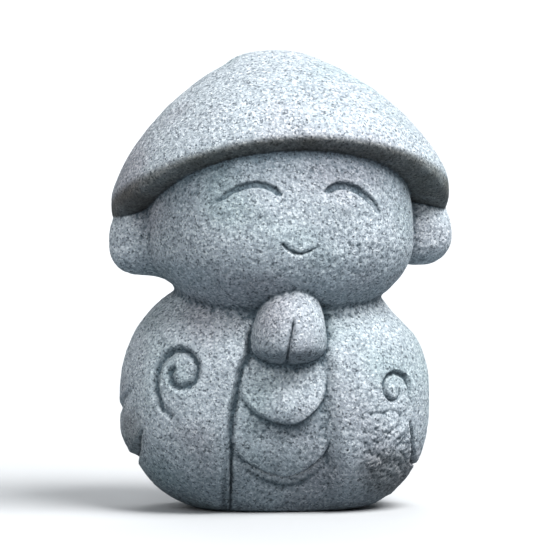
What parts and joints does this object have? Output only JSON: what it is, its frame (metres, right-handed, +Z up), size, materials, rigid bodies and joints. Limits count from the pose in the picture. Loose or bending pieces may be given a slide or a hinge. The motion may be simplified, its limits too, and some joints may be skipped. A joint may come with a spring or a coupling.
{
  "type": "stone jizo statue",
  "caption": "Small carved granite figure with pressed palms, a round smiling face and a broad hat, standing on its flat underside.",
  "frame": {"origin": "on the flat underside, below the middle of the robe", "axes": "+Z up, the figure faces -Y, and +X is to the right of someone who looks at its face"},
  "size_m": [0.1815, 0.1439, 0.24],
  "materials": {
    "granite": "fine grey granite, bush-hammered all over, matte"
  },
  "bodies": {
    "root": {"jizo_statue": "granite"}
  },
  "joints": []
}
